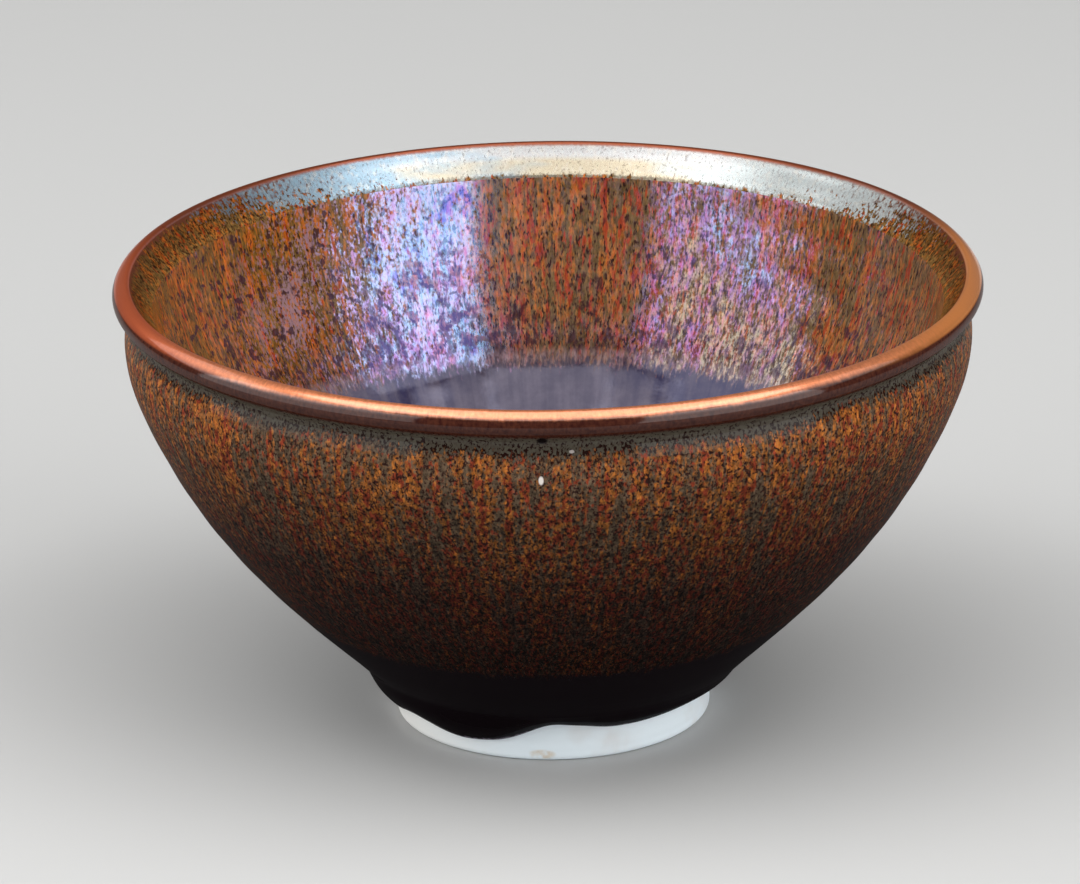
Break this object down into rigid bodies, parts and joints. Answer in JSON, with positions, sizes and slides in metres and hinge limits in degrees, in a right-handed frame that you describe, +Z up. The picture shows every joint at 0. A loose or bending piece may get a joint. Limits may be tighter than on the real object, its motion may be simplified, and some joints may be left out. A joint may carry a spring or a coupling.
{
  "type": "tea bowl",
  "caption": "Footed tea bowl with a flared wall, a rolled lip over a shallow groove, and an iron glaze that stops in a wavy line above a bare porcelain foot.",
  "frame": {"origin": "centre of the foot ring's underside, on the surface that the bowl stands on", "axes": "+Z up the bowl's axis of revolution, -Y the side that the picture shows, +X to its right"},
  "size_m": [0.122, 0.122, 0.0654],
  "materials": {
    "coated_porcelain": "glossy iron glaze with rust and olive streaks; the turned foot is bare white porcelain",
    "rust_glaze": "thin glossy rust-red glaze",
    "pool_glaze": "deep smooth glossy glaze, violet-black",
    "black_glaze": "thick glossy black glaze"
  },
  "bodies": {
    "root": {"porcelain_body": "coated_porcelain", "rolled_lip": "rust_glaze", "well_glaze": "pool_glaze", "foot_glaze_roll": "black_glaze"}
  },
  "joints": []
}
